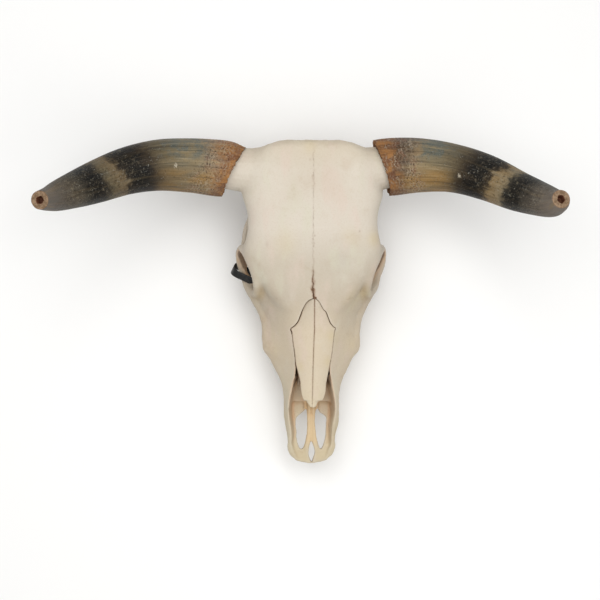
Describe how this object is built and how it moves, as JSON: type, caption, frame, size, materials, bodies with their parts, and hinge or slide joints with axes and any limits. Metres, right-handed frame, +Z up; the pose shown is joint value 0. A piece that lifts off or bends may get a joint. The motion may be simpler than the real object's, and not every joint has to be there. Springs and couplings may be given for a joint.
{
  "type": "horned steer skull",
  "caption": "Life-size dry skull of a horned steer without its lower jaw, with sawn horn tips and a plain strap tag round one eye socket, lying face up on the floor.",
  "frame": {"origin": "on the floor, below the middle of the object's bounding box seen from above", "axes": "+X runs from the horn named left (the one at the left when the skull is seen from above with the muzzle towards the viewer) to the horn named right, +Y from the muzzle to the back of the head, +Z up from the floor, out of the forehead"},
  "size_m": [0.7888, 0.5132, 0.3362],
  "materials": {
    "pale_bone": "satin, bleached dry bone",
    "bone": "satin dry bone",
    "aged_bone": "matt, yellowed dry bone",
    "horn": "dull horn sheath, flaky at its base",
    "band": "matt black plastic"
  },
  "bodies": {
    "root": {"braincase": "aged_bone", "cheekbone_left": "bone", "cheekbone_right": "bone", "forehead_left": "pale_bone", "forehead_right": "pale_bone", "horn_left": "horn", "horn_right": "horn", "incisive_left": "aged_bone", "incisive_right": "aged_bone", "maxilla_left": "bone", "maxilla_right": "bone", "nasal_left": "pale_bone", "nasal_right": "pale_bone", "tag_band": "band", "vomer": "aged_bone"}
  },
  "joints": []
}
